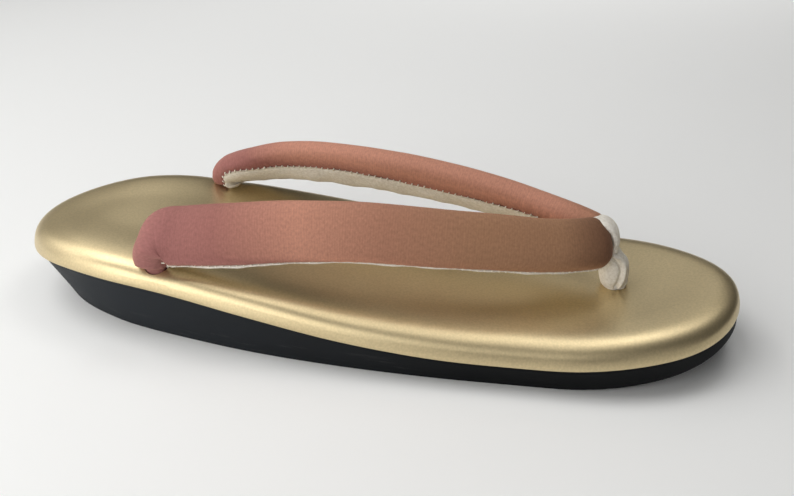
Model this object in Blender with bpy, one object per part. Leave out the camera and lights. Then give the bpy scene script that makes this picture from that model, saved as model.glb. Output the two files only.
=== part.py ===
# A zori sandal: a black wedge sole, a wrapped footbed cushion, padded toe straps and a front thong.
# Toe towards +X, up +Z, and the origin on the ground under the middle of the sole.
from math import cos, pi, radians, sin, sqrt

import bmesh
import bpy
from mathutils import Vector

# Sole, in metres
SOLE_LENGTH = 0.240
SOLE_WIDTH = 0.0812
HEEL_ROUND = 0.0492  # length of the round at the heel end
TOE_ROUND = 0.0544
HEEL_FULLNESS = 2.07  # power of each round: 2 is an ellipse, more is squarer
TOE_FULLNESS = 2.2
HEEL_THICKNESS = 0.0212
TOE_THICKNESS = 0.0052
TOE_SPRING = 0.0120  # how high the ground face lifts at the toe
SPRING_LENGTH = 0.0716  # how far behind the toe the lift begins
SPRING_POWER = 2.7
HEEL_UNDERCUT = 0.0075  # how far the ground face stands in from the side above it
SIDE_UNDERCUT = 0.0015
GROUND_ROUND = 0.0006  # small round where the side meets the ground face
SOLE_REVEAL = 0.0009  # the sole stands in under the footbed by this much
LIP_HEIGHT = 0.0018  # thin top layer that stands proud of the sole's side at the heel
LIP_DEPTH = 0.0005
LIP_SLOPE = 0.0003  # height of the slope under the lip

# Footbed cushion
CUSHION_THICKNESS = 0.0068
ROLL_WIDTH = 0.0065  # how far in from the edge the top is rounded over
ROLL_POWER = 2.8
WRAP_TUCK = 0.0007  # how far the wrapped edge turns in at its foot
DISH_WIDTH = 0.016  # how far in from the edge the dished middle begins
DISH_DEPTH = 0.0007
DISH_SHARE = 0.6  # share of the dish's depth at its rim

# Holes that the straps and the thong pass through
REAR_HOLE_AHEAD = 0.0595  # ahead of the heel end
REAR_HOLE_OUT = 0.0300  # to each side of the middle
FRONT_HOLE_BACK = 0.0380  # behind the toe end
NECK_DIAMETER = 0.0080
STEM_DIAMETER = 0.0066
HOLE_CLEARANCE = 0.0004  # around a neck or the stem
HOLE_SIDES = 24

# Straps
STRAP_WIDTH = 0.0193
STRAP_THICKNESS = 0.0100
STRAP_RISE = 0.0218  # highest middle of a strap above the footbed
STRAP_FULLNESS = 2.4
STRAP_SIDES = 20
NOSE_LENGTH = 0.0060  # round that closes each strap at the front
NOSE_POWER = 2.2
NOSE_FLAT = 0.17  # share of the strap's section that is left at the tip of the nose

# Front thong
THONG_WIDTH = 0.0082
THONG_THICKNESS = 0.0022
BULB_DIAMETER = 0.0094
THONG_FULLNESS = 2.3
THONG_SIDES = 18

GAP = 0.0003  # between pieces that touch
STATIONS = 44  # steps along each side of the sole

# along: from heel 0 to toe 1. width: share of half the sole's width. thickness: from toe 0 to heel 1.
# undercut: from side 0 to heel 1. lip: share of the lip's depth.
SOLE_COLUMNS = ("along", "width", "thickness", "undercut", "lip")
SOLE_SECTIONS = (
    (0.000, 0.859, 0.825, 1.00, 1.0),
    (0.125, 0.853, 1.000, 0.72, 1.0),
    (0.250, 0.904, 0.910, 0.21, 0.8),
    (0.375, 0.966, 0.680, 0.00, 0.4),
    (0.500, 1.000, 0.430, 0.00, 0.1),
    (0.625, 0.992, 0.270, 0.00, 0.0),
    (0.750, 0.955, 0.245, 0.00, 0.0),
    (0.875, 0.927, 0.225, -0.12, 0.0),
    (1.000, 0.954, 0.000, -0.40, 0.0),
)

# Foot of the cushion's wrap. inset: share of the wrap's tuck. height: share of the cushion's thickness.
WRAP_COLUMNS = ("inset", "height")
WRAP_SECTIONS = (
    (1.00, 0.00),
    (0.15, 0.16),
    (0.00, 0.34),
)
ROLL_ANGLES = (22, 38, 52, 64, 76, 90)  # degrees round the roll, from the side to the top

# along: from rear hole 0 to front hole 1. out: share of the rear hole's distance from the middle.
# rise: share of the strap's rise above the footbed. width, depth: shares of the strap's section.
# tilt: degrees that the section leans inwards from flat.
# The right strap stands up from its hole, the left one leaves it at a slant.
STRAP_COLUMNS = ("along", "out", "rise", "width", "depth", "tilt")
HEEL_SECTIONS = {
    "right": (
        (0.000, 1.000, 0.022, 0.50, 0.94, 0),
        (0.000, 1.000, 0.060, 0.66, 1.16, 0),
        (-0.001, 0.998, 0.130, 0.76, 1.28, 12),
        (0.006, 0.980, 0.290, 0.89, 1.22, 32),
        (0.027, 0.955, 0.400, 0.98, 1.12, 39),
        (0.072, 0.940, 0.470, 1.00, 1.03, 43),
    ),
    "left": (
        (0.000, 1.000, 0.028, 0.50, 0.94, 0),
        (0.000, 1.000, 0.075, 0.66, 1.10, 0),
        (0.003, 0.992, 0.150, 0.75, 1.14, 8),
        (0.020, 0.980, 0.255, 0.85, 1.10, 22),
        (0.046, 0.960, 0.340, 0.94, 1.08, 32),
        (0.088, 0.945, 0.455, 0.99, 1.03, 40),
    ),
}
FRONT_SECTIONS = (
    (0.172, 0.940, 0.645, 1.00, 1.00, 51),
    (0.284, 0.873, 0.812, 0.98, 1.00, 58),
    (0.425, 0.763, 0.955, 0.95, 1.00, 60),
    (0.565, 0.673, 1.000, 0.93, 1.00, 60),
    (0.705, 0.543, 0.963, 0.90, 1.00, 57),
    (0.810, 0.410, 0.885, 0.87, 1.00, 53),
    (0.890, 0.262, 0.815, 0.85, 1.04, 48),
    (0.940, 0.130, 0.757, 0.84, 1.08, 45),
    (0.972, 0.040, 0.715, 0.83, 1.08, 43),
)

# ahead: share of the bulb's diameter ahead of the front hole. rise: share of the straps' rise.
# width, depth: shares of the thong's band.
THONG_COLUMNS = ("ahead", "rise", "width", "depth")
THONG_SECTIONS = (
    (-0.02, 0.03, 0.80, 3.00),
    (-0.06, 0.11, 1.06, 3.90),
    (-0.10, 0.23, 1.14, 4.30),
    (-0.11, 0.36, 1.12, 3.80),
    (-0.12, 0.49, 1.06, 2.60),
    (-0.13, 0.61, 1.02, 1.60),
    (-0.20, 0.74, 1.00, 1.00),
    (-0.28, 0.90, 1.00, 1.00),
    (-0.46, 1.00, 0.95, 1.00),
    (-0.75, 1.05, 0.80, 1.00),
    (-1.08, 1.02, 0.55, 0.95),
    (-1.34, 0.93, 0.30, 0.80),
)


def curve_through(p0, p1, p2, p3, t):
    """Catmull-Rom value between p1 and p2."""
    bend = 2 * p0 - 5 * p1 + 4 * p2 - p3
    twist = 3 * p1 - p0 - 3 * p2 + p3
    return p1 + 0.5 * t * ((p2 - p0) + t * (bend + t * twist))


def sole_value(x, column):
    """Value of one column of the sole's sections at a place along the sole."""
    k = SOLE_COLUMNS.index(column)
    steps = len(SOLE_SECTIONS) - 1
    place = min(max(x / SOLE_LENGTH + 0.5, 0), 1) * steps
    i = min(int(place), steps - 1)
    row = [SOLE_SECTIONS[min(max(j, 0), steps)][k] for j in range(i - 1, i + 3)]
    return curve_through(*row, place - i)


def half_width(x):
    heel = max(0, 1 - (x + SOLE_LENGTH / 2) / HEEL_ROUND)
    toe = max(0, 1 - (SOLE_LENGTH / 2 - x) / TOE_ROUND)
    ends = max(0, 1 - heel**HEEL_FULLNESS) * max(0, 1 - toe**TOE_FULLNESS)
    return SOLE_WIDTH / 2 * sole_value(x, "width") * sqrt(ends)


def ground_z(x):
    lift = max(0, (x - SOLE_LENGTH / 2) / SPRING_LENGTH + 1)
    return TOE_SPRING * lift**SPRING_POWER


def seam_z(x):
    """Height of the sole's top face, where the footbed lies on it."""
    thickness = TOE_THICKNESS + (HEEL_THICKNESS - TOE_THICKNESS) * sole_value(x, "thickness")
    return ground_z(x) + thickness


def footbed_z(x):
    return seam_z(x) + CUSHION_THICKNESS


def undercut(x):
    return SIDE_UNDERCUT + (HEEL_UNDERCUT - SIDE_UNDERCUT) * sole_value(x, "undercut")


def outline():
    """The sole's outline from above, anticlockwise from the heel, as points with their outward normals."""
    right = []
    for i in range(STATIONS + 1):
        x = -SOLE_LENGTH / 2 * cos(pi * i / STATIONS)
        right.append(Vector((x, -half_width(x), 0)))
    left = [Vector((p.x, -p.y, 0)) for p in reversed(right[1:-1])]
    points = right + left
    normals = []
    for i, _ in enumerate(points):
        along = points[(i + 1) % len(points)] - points[i - 1]
        normals.append(Vector((along.y, -along.x, 0)).normalized())
    return list(zip(points, normals))


def ring(inset, height):
    """The outline moved in by inset(x) and lifted to height(x)."""
    points = []
    for point, normal in outline():
        p = point - normal * inset(point.x)
        points.append(Vector((p.x, p.y, height(p.x))))
    return points


def add_rings(bm, rings):
    """Joins closed rings of equal count into a wall, and returns their vertices."""
    verts = [[bm.verts.new(p) for p in points] for points in rings]
    for low, high in zip(verts, verts[1:]):
        for i, _ in enumerate(low):
            bm.faces.new((low[i - 1], low[i], high[i], high[i - 1]))
    return verts


def add_strips(bm, verts, middle, upwards):
    """Closes a ring of the sole's outline with strips from its right side to its middle to its left."""
    count = len(verts)
    for i in range(count // 2):
        right, left = (verts[i], verts[i + 1]), (verts[count - i - 1], verts[-i])
        faces = [(*right, middle[i + 1], middle[i]), (middle[i], middle[i + 1], *left)]
        for face in faces:
            corners = list(dict.fromkeys(face))
            bm.faces.new(corners if upwards else reversed(corners))


def middle_line(bm, verts, height):
    """A vertex on the middle line for each pair of the ring's sides, the ring's own at its ends."""
    half = len(verts) // 2
    inner = [bm.verts.new((v.co.x, 0, height(v.co.x))) for v in verts[1:half]]
    return [verts[0], *inner, verts[half]]


def frame_at(path, i):
    """Direction of travel at point i of a path."""
    ahead, behind = path[min(i + 1, len(path) - 1)], path[max(i - 1, 0)]
    return (ahead - behind).normalized()


def section_points(centre, across, through, fullness, count):
    """A rounded section with half axes across and through."""
    points = []
    for k in range(count):
        a = 2 * pi * k / count
        u = abs(cos(a)) ** (2 / fullness) * (1 if cos(a) >= 0 else -1)
        v = abs(sin(a)) ** (2 / fullness) * (1 if sin(a) >= 0 else -1)
        points.append(centre + across * u + through * v)
    return points


def finer(rows, steps):
    """Rows of numbers with smooth rows added between them."""
    result = []
    last = len(rows) - 1
    for i in range(last):
        near = [rows[min(max(j, 0), last)] for j in range(i - 1, i + 3)]
        for s in range(steps):
            result.append([curve_through(*values, s / steps) for values in zip(*near)])
    return result + [list(rows[-1])]


def rear_hole_x():
    return REAR_HOLE_AHEAD - SOLE_LENGTH / 2


def front_hole_x():
    return SOLE_LENGTH / 2 - FRONT_HOLE_BACK


def strap_rows(side):
    """A strap's sections: centre, width, depth and tilt, from its neck in the rear hole to its nose."""
    foot = rear_hole_x()
    reach = front_hole_x() - foot
    neck = NECK_DIAMETER
    neck_ends = (seam_z(foot) + 2 * GAP, footbed_z(foot) - GAP)
    rows = [(foot, REAR_HOLE_OUT, z, neck, neck, 0) for z in neck_ends]
    for row in HEEL_SECTIONS[side] + FRONT_SECTIONS:
        value = dict(zip(STRAP_COLUMNS, row))
        x = foot + reach * value["along"]
        z = footbed_z(x) + STRAP_RISE * value["rise"]
        width, depth = STRAP_WIDTH * value["width"], STRAP_THICKNESS * value["depth"]
        rows.append((x, REAR_HOLE_OUT * value["out"], z, width, depth, value["tilt"]))
    return finer(rows, 3)


def strap_loft(side):
    """Rings of the left or right strap, with its nose rounded off."""
    rows = strap_rows(side)
    path = [Vector(row[:3]) for row in rows]
    to_go = 0
    ends = []
    for i in range(len(path) - 1, -1, -1):
        if i < len(path) - 1:
            to_go += (path[i + 1] - path[i]).length
        ends.append(max(0, 1 - to_go / NOSE_LENGTH))
    rings = []
    for i, (row, end) in enumerate(zip(rows, reversed(ends))):
        travel = frame_at(path, i)
        tilt = radians(row[5])
        across = Vector((0, cos(tilt), -sin(tilt)))
        across = (across - travel * across.dot(travel)).normalized()
        through = travel.cross(across)
        size = max((1 - end**NOSE_POWER) ** (1 / NOSE_POWER), NOSE_FLAT)
        wide, deep = row[3] / 2 * size, row[4] / 2 * size
        points = section_points(path[i], across * wide, through * deep, STRAP_FULLNESS, STRAP_SIDES)
        if side == "right":
            points = [Vector((p.x, -p.y, p.z)) for p in points]
        rings.append(points)
    return rings


def thong_loft(clearance):
    """Rings of the thong from its stem in the front hole, up before the straps' noses and over them."""
    hole = front_hole_x()
    stem = STEM_DIAMETER
    stem_ends = (seam_z(hole) + 2 * GAP, footbed_z(hole) - 2 * GAP)
    rows = [(hole, z, stem, stem) for z in stem_ends]
    for row in THONG_SECTIONS:
        value = dict(zip(THONG_COLUMNS, row))
        x = hole + BULB_DIAMETER * value["ahead"]
        z = footbed_z(hole) + STRAP_RISE * value["rise"]
        rows.append((x, z, THONG_WIDTH * value["width"], THONG_THICKNESS * value["depth"]))
    rows = finer(rows, 2)
    path = [Vector((row[0], 0, row[1])) for row in rows]
    rings = []
    for i, row in enumerate(rows):
        travel = frame_at(path, i)
        across = Vector((0, 1, 0))
        through = travel.cross(across)
        wide, deep = row[2] / 2 + clearance, row[3] / 2 + clearance
        past_end = {0: -1, len(rows) - 1: 1}.get(i, 0)
        centre = path[i] + travel * clearance * past_end
        rings.append(section_points(centre, across * wide, through * deep, THONG_FULLNESS, THONG_SIDES))
    return rings


def mesh_object(name, bm, collection):
    bmesh.ops.recalc_face_normals(bm, faces=bm.faces)
    mesh = bpy.data.meshes.new(name)
    bm.to_mesh(mesh)
    bm.free()
    mesh.shade_smooth()
    mesh.set_sharp_from_angle(angle=radians(50))
    item = bpy.data.objects.new(name, mesh)
    collection.objects.link(item)
    return item


def material(item, name, colour, roughness, metallic=0.0):
    paint = bpy.data.materials.new(name)
    paint.use_nodes = True
    shader = paint.node_tree.nodes["Principled BSDF"]
    shader.inputs["Base Color"].default_value = (*colour, 1)
    shader.inputs["Roughness"].default_value = roughness
    shader.inputs["Metallic"].default_value = metallic
    paint.diffuse_color = (*colour, 1)
    item.data.materials.append(paint)


def combine(item, operation, other):
    boolean = item.modifiers.new(other.name, "BOOLEAN")
    boolean.operation = operation
    boolean.solver = "EXACT"
    boolean.object = other


def hole_cutter(name, x, y, diameter, cutters):
    """An upright cylinder through the footbed."""
    middle = Vector((x, y, (seam_z(x) + footbed_z(x)) / 2))
    size = {"radius": diameter / 2, "depth": 2 * CUSHION_THICKNESS}
    bpy.ops.mesh.primitive_cylinder_add(vertices=HOLE_SIDES, location=middle, **size)
    cutter = bpy.context.object
    cutter.name = name
    for owner in cutter.users_collection:
        owner.objects.unlink(cutter)
    cutters.objects.link(cutter)
    hide_cutter(cutter)
    return cutter


def hide_cutter(cutter):
    cutter.hide_render = True
    cutter.display_type = "WIRE"


def make_sole(parts):
    def lip(x):
        return LIP_DEPTH * sole_value(x, "lip")

    def side(share):
        """Inset of the sole's side between its foot, share 0, and the lip, share 1."""
        return lambda x: SOLE_REVEAL + lip(x) + (1 - share) * undercut(x)

    rings = [
        ring(lambda x: side(0)(x) + GROUND_ROUND, ground_z),
        ring(side(0), lambda x: ground_z(x) + GROUND_ROUND),
        ring(side(0.5), lambda x: (ground_z(x) + seam_z(x) - LIP_HEIGHT) / 2),
        ring(side(1), lambda x: seam_z(x) - LIP_HEIGHT),
        ring(lambda x: SOLE_REVEAL, lambda x: seam_z(x) - LIP_HEIGHT + LIP_SLOPE),
        ring(lambda x: SOLE_REVEAL, lambda x: seam_z(x) - GROUND_ROUND),
        ring(lambda x: SOLE_REVEAL + GROUND_ROUND, seam_z),
    ]
    bm = bmesh.new()
    walls = add_rings(bm, rings)
    add_strips(bm, walls[0], middle_line(bm, walls[0], ground_z), upwards=False)
    add_strips(bm, walls[-1], middle_line(bm, walls[-1], seam_z), upwards=True)
    sole = mesh_object("sole", bm, parts)
    material(sole, "black foam rubber", (0.018, 0.020, 0.022), 0.62)
    return sole


def roll_profile():
    """Inset and height shares of the cushion's wrapped edge, from its foot to the rim of its top."""
    profile = []
    for row in WRAP_SECTIONS:
        value = dict(zip(WRAP_COLUMNS, row))
        profile.append((WRAP_TUCK * value["inset"], value["height"]))
    for angle in ROLL_ANGLES:
        a = radians(angle)
        inset = ROLL_WIDTH * (1 - cos(a) ** (2 / ROLL_POWER))
        profile.append((inset, sin(a) ** (2 / ROLL_POWER)))
    return profile


def make_footbed(parts, cutters):
    def level(share):
        return lambda x: seam_z(x) + GAP + (CUSHION_THICKNESS - GAP) * share

    def dish(share):
        return lambda x: footbed_z(x) - DISH_DEPTH * share

    rings = [ring(lambda x, d=inset: d, level(share)) for inset, share in roll_profile()]
    rings.append(ring(lambda x: DISH_WIDTH, dish(DISH_SHARE)))
    bm = bmesh.new()
    walls = add_rings(bm, rings)
    add_strips(bm, walls[0], middle_line(bm, walls[0], level(0)), upwards=False)
    add_strips(bm, walls[-1], middle_line(bm, walls[-1], dish(1)), upwards=True)
    footbed = mesh_object("footbed", bm, parts)
    material(footbed, "gold synthetic leather", (0.62, 0.50, 0.33), 0.38, 0.35)
    neck = NECK_DIAMETER + 2 * HOLE_CLEARANCE
    stem = STEM_DIAMETER + 2 * HOLE_CLEARANCE
    for name, x, y, diameter in (
        ("left rear hole", rear_hole_x(), REAR_HOLE_OUT, neck),
        ("right rear hole", rear_hole_x(), -REAR_HOLE_OUT, neck),
        ("front hole", front_hole_x(), 0, stem),
    ):
        combine(footbed, "DIFFERENCE", hole_cutter(name, x, y, diameter, cutters))
    return footbed


def loft_object(name, rings, collection):
    """A solid through the rings, closed flat at both ends."""
    bm = bmesh.new()
    walls = add_rings(bm, rings)
    bm.faces.new(reversed(walls[0]))
    bm.faces.new(walls[-1])
    return mesh_object(name, bm, collection)


def make_straps(parts, cutters):
    """The left and right strap, joined at the front, with room for the thong around them."""
    straps = loft_object("straps", strap_loft("left"), parts)
    material(straps, "shot strap fabric", (0.43, 0.19, 0.15), 0.75)
    right = loft_object("right strap", strap_loft("right"), cutters)
    room = loft_object("room for the thong", thong_loft(GAP), cutters)
    for other, operation in ((right, "UNION"), (room, "DIFFERENCE")):
        hide_cutter(other)
        combine(straps, operation, other)
    return straps


def make_thong(parts):
    thong = loft_object("front_thong", thong_loft(0), parts)
    material(thong, "white flannel", (0.60, 0.56, 0.48), 0.9)
    return thong


def main():
    for item in list(bpy.data.objects):
        bpy.data.objects.remove(item, do_unlink=True)
    parts = bpy.data.collections.new("zori sandal")
    cutters = bpy.data.collections.new("cutters")
    for collection in (parts, cutters):
        bpy.context.scene.collection.children.link(collection)
    whole = bpy.data.objects.new("zori", None)
    parts.objects.link(whole)
    pieces = (
        make_sole(parts),
        make_footbed(parts, cutters),
        make_straps(parts, cutters),
        make_thong(parts),
    )
    for piece in pieces:
        piece.parent = whole


main()
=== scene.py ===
from math import cos, exp, pi, radians, sin, sqrt

import bmesh
import bpy
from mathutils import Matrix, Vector, noise


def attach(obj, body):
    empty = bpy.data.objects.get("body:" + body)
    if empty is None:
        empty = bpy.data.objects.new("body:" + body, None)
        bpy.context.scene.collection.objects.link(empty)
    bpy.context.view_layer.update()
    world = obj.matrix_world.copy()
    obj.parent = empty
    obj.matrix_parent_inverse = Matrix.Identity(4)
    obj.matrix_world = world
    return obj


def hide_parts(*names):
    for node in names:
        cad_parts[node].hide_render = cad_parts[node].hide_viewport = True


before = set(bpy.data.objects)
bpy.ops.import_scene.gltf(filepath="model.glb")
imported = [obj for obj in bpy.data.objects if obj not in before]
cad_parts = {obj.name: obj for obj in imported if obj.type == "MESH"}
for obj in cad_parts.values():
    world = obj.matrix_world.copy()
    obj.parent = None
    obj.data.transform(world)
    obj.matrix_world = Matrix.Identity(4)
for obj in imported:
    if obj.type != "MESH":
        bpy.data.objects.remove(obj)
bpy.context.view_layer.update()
mm = 0.001


def linear(colour):
    channels = [int(colour[i:i + 2], 16) / 255 for i in (1, 3, 5)]
    return (*[c / 12.92 if c <= 0.04045 else ((c + 0.055) / 1.055) ** 2.4 for c in channels], 1)


def feed(tree, node, inputs):
    # links or sets a node's inputs, each by its name or number
    for name, value in inputs.items():
        if isinstance(value, bpy.types.Node):
            value = value.outputs[0]
        if isinstance(value, bpy.types.NodeSocket):
            tree.links.new(value, node.inputs[name])
        else:
            node.inputs[name].default_value = value


def addNode(tree, kind, inputs=None, stops=None, **settings):
    # adds a node, makes its own settings, feeds its inputs, and fills a ramp's stops
    node = tree.nodes.new(kind)
    for name, value in settings.items():
        setattr(node, name, value)
    feed(tree, node, inputs or {})
    if stops:
        ramp = node.color_ramp
        while len(ramp.elements) < len(stops):
            ramp.elements.new(1)
        for element, (place, colour) in zip(ramp.elements, stops):
            element.position = place
            element.color = linear(colour)
    return node


def newMaterial(name, **sockets):
    material = bpy.data.materials.new(name)
    material.use_nodes = True
    tree = material.node_tree
    shader = tree.nodes["Principled BSDF"]
    for socket, value in sockets.items():
        shader.inputs[socket.replace("_", " ")].default_value = value
    return material, tree, shader


def smoothValue(p0, p1, p2, p3, t):
    # Catmull-Rom value between p1 and p2
    bend = 2 * p0 - 5 * p1 + 4 * p2 - p3
    twist = 3 * p1 - p0 - 3 * p2 + p3
    return p1 + 0.5 * t * ((p2 - p0) + t * (bend + t * twist))


def evenValue(values, share):
    # smooth value of an evenly spaced row of numbers, share 0 at its start and 1 at its end
    last = len(values) - 1
    place = min(max(share, 0), 1) * last
    i = min(int(place), last - 1)
    near = [values[min(max(j, 0), last)] for j in range(i - 1, i + 3)]
    return smoothValue(*near, place - i)


def finerRows(rows, steps):
    result, last = [], len(rows) - 1
    for i in range(last):
        near = [rows[min(max(j, 0), last)] for j in range(i - 1, i + 3)]
        for s in range(steps):
            result.append([smoothValue(*values, s / steps) for values in zip(*near)])
    return result + [list(rows[-1])]


def ease(value):
    value = min(max(value, 0), 1)
    return value * value * (3 - 2 * value)


def softNoise(x, y, z=0.0):
    return noise.noise(Vector((x, y, z)))


def superellipse(angle, fullness):
    c, s = cos(angle), sin(angle)
    side = abs(c) ** (2 / fullness) * (1 if c >= 0 else -1)
    top = abs(s) ** (2 / fullness) * (1 if s >= 0 else -1)
    return side, top


def makePiece(name, bm, material):
    bmesh.ops.recalc_face_normals(bm, faces=bm.faces)
    mesh = bpy.data.meshes.new(name)
    bm.to_mesh(mesh)
    bm.free()
    mesh.shade_smooth()
    mesh.materials.append(material)
    piece = bpy.data.objects.new(name, mesh)
    bpy.context.scene.collection.objects.link(piece)
    return piece


def joinRings(bm, rings):
    verts = [[bm.verts.new(p) for p in ring] for ring in rings]
    for low, high in zip(verts, verts[1:]):
        for i in range(len(low)):
            bm.faces.new((low[i - 1], low[i], high[i], high[i - 1]))
    return verts


def closePole(bm, ring, point):
    pole = bm.verts.new(point)
    for i in range(len(ring)):
        bm.faces.new((ring[i - 1], ring[i], pole))


def hardened(piece):
    # the piece's modifiers become part of its mesh
    bpy.context.view_layer.update()
    whole = piece.evaluated_get(bpy.context.evaluated_depsgraph_get())
    mesh = bpy.data.meshes.new_from_object(whole)
    piece.modifiers.clear()
    piece.data = mesh
    return piece


def subdivide(piece, levels):
    smooth = piece.modifiers.new("smooth", "SUBSURF")
    smooth.levels = smooth.render_levels = levels
    return piece


# form of the sole, which the footbed follows too
soleForm = {
    "length": 240 * mm, "width": 81.2 * mm,
    "heelRound": 49.2 * mm, "toeRound": 54.4 * mm,
    "heelFullness": 2.07, "toeFullness": 2.2,
    "heelThickness": 21.2 * mm, "toeThickness": 5.2 * mm,
    "toeSpring": 12 * mm, "springLength": 71.6 * mm, "springPower": 2.7,
    "heelUndercut": 7.5 * mm, "sideUndercut": 1.5 * mm,
    "reveal": 0.9 * mm,  # the sole stands in under the footbed
    "layerHeight": 1.8 * mm, "layerProud": 0.5 * mm,  # the thin layer on top of the wedge
    "groundRound": 0.6 * mm, "layerRound": 0.3 * mm, "layerEdge": 0.5 * mm,
    "stations": 90,
    # from heel to toe at even steps, as shares of the sizes above
    "widthShares": (0.859, 0.853, 0.904, 0.966, 1.0, 0.992, 0.955, 0.927, 0.954),
    "thicknessShares": (0.825, 1.0, 0.91, 0.68, 0.43, 0.27, 0.245, 0.225, 0.0),
    "undercutShares": (1.0, 0.72, 0.21, 0.0, 0.0, 0.0, 0.0, -0.12, -0.40),
    "layerShares": (1.0, 1.0, 0.8, 0.4, 0.1, 0.0, 0.0, 0.0, 0.0),
}


def soleShare(x, row):
    return evenValue(soleForm[row], x / soleForm["length"] + 0.5)


def halfWidth(x):
    heel = max(0, 1 - (x + soleForm["length"] / 2) / soleForm["heelRound"])
    toe = max(0, 1 - (soleForm["length"] / 2 - x) / soleForm["toeRound"])
    ends = max(0, 1 - heel ** soleForm["heelFullness"]) * max(0, 1 - toe ** soleForm["toeFullness"])
    return soleForm["width"] / 2 * soleShare(x, "widthShares") * sqrt(ends)


def groundZ(x):
    lift = max(0, (x - soleForm["length"] / 2) / soleForm["springLength"] + 1)
    return soleForm["toeSpring"] * lift ** soleForm["springPower"]


def seamZ(x):
    heel, toe = soleForm["heelThickness"], soleForm["toeThickness"]
    return groundZ(x) + toe + (heel - toe) * soleShare(x, "thicknessShares")


def undercut(x):
    heel, side = soleForm["heelUndercut"], soleForm["sideUndercut"]
    return side + (heel - side) * soleShare(x, "undercutShares")


def soleOutline(stations):
    # points from the heel along the right side to the toe and back, each with its outward normal
    right = []
    for i in range(stations + 1):
        x = -soleForm["length"] / 2 * cos(pi * i / stations)
        right.append(Vector((x, -halfWidth(x), 0)))
    points = right + [Vector((p.x, -p.y, 0)) for p in reversed(right[1:-1])]
    outline = []
    for i, point in enumerate(points):
        along = points[(i + 1) % len(points)] - points[i - 1]
        outline.append((point, Vector((along.y, -along.x, 0)).normalized()))
    return outline


def soleRing(outline, inset, height):
    ring = []
    for point, normal in outline:
        p = point - normal * inset(point.x)
        ring.append(Vector((p.x, p.y, height(p.x))))
    return ring


def closeAcross(bm, ring, height, parts):
    # fills a ring of the outline with rows of faces from its right side to its left
    half = len(ring) // 2
    rows = []
    for i in range(1, half):
        right, left = ring[i], ring[-i]
        row = [right]
        for k in range(1, parts):
            p = right.co.lerp(left.co, k / parts)
            row.append(bm.verts.new((p.x, p.y, height(p.x, p.y))))
        rows.append(row + [left])
    for low, high in zip(rows, rows[1:]):
        for k in range(parts):
            bm.faces.new((low[k], high[k], high[k + 1], low[k + 1]))
    for tip, row in ((ring[0], rows[0]), (ring[half], rows[-1])):
        for k in range(parts):
            bm.faces.new((tip, row[k], row[k + 1]))


def foamRubber():
    # moulded EVA foam: a dull skin with fine pores, painted light at the heel and painted shade towards the
    # toe, with pale scuffs near the ground
    material, tree, shader = newMaterial("foamRubberMoulded", IOR=1.5, Specular_IOR_Level=0.12)
    place = addNode(tree, "ShaderNodeTexCoord").outputs["Object"]
    along, _, height = addNode(tree, "ShaderNodeSeparateXYZ", {0: place}).outputs
    cloud = addNode(tree, "ShaderNodeTexNoise", {"Vector": place, "Scale": 60.0, "Detail": 5.0})
    tone = addNode(tree, "ShaderNodeValToRGB", {0: cloud}, stops=[(0.3, "#1f2226"), (0.75, "#272b2f")])
    # painted light and shade: the colour falls from full at the lit heel to 0.18 at the shaded front
    paintedHeelLight = addNode(tree, "ShaderNodeMapRange", {0: along, 1: -60 * mm, 2: 40 * mm, 3: 1.0, 4: 0.18})
    paintedLightTone = addNode(tree, "ShaderNodeVectorMath", {0: tone, 1: paintedHeelLight}, operation="MULTIPLY")
    drawn = addNode(tree, "ShaderNodeMapping", {
        "Vector": place, "Scale": (45.0, 300.0, 700.0)})  # a scuff is long and low
    streaks = addNode(tree, "ShaderNodeTexNoise", {
        "Vector": drawn, "Scale": 1.0, "Detail": 6.0, "Roughness": 0.7})
    marks = addNode(tree, "ShaderNodeMapRange", {0: streaks, 1: 0.60, 2: 0.78, 3: 0.0, 4: 0.28})
    low = addNode(tree, "ShaderNodeMapRange", {0: height, 1: 0.0, 2: 9 * mm, 3: 1.0, 4: 0.1})
    scuffs = addNode(tree, "ShaderNodeMath", {0: marks, 1: low}, operation="MULTIPLY")
    colour = addNode(tree, "ShaderNodeMix", {0: scuffs, 6: paintedLightTone, 7: linear("#7d7b78")}, data_type="RGBA")
    dull = addNode(tree, "ShaderNodeMapRange", {0: cloud, 1: 0.3, 2: 0.7, 3: 0.46, 4: 0.60})
    pores = addNode(tree, "ShaderNodeTexNoise", {"Vector": place, "Scale": 1 / (0.5 * mm), "Detail": 3.0})
    bump = addNode(tree, "ShaderNodeBump", {"Strength": 0.25, "Distance": 0.15 * mm, "Height": pores})
    feed(tree, shader, {"Base Color": colour.outputs[2], "Roughness": dull, "Normal": bump})
    return material


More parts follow.
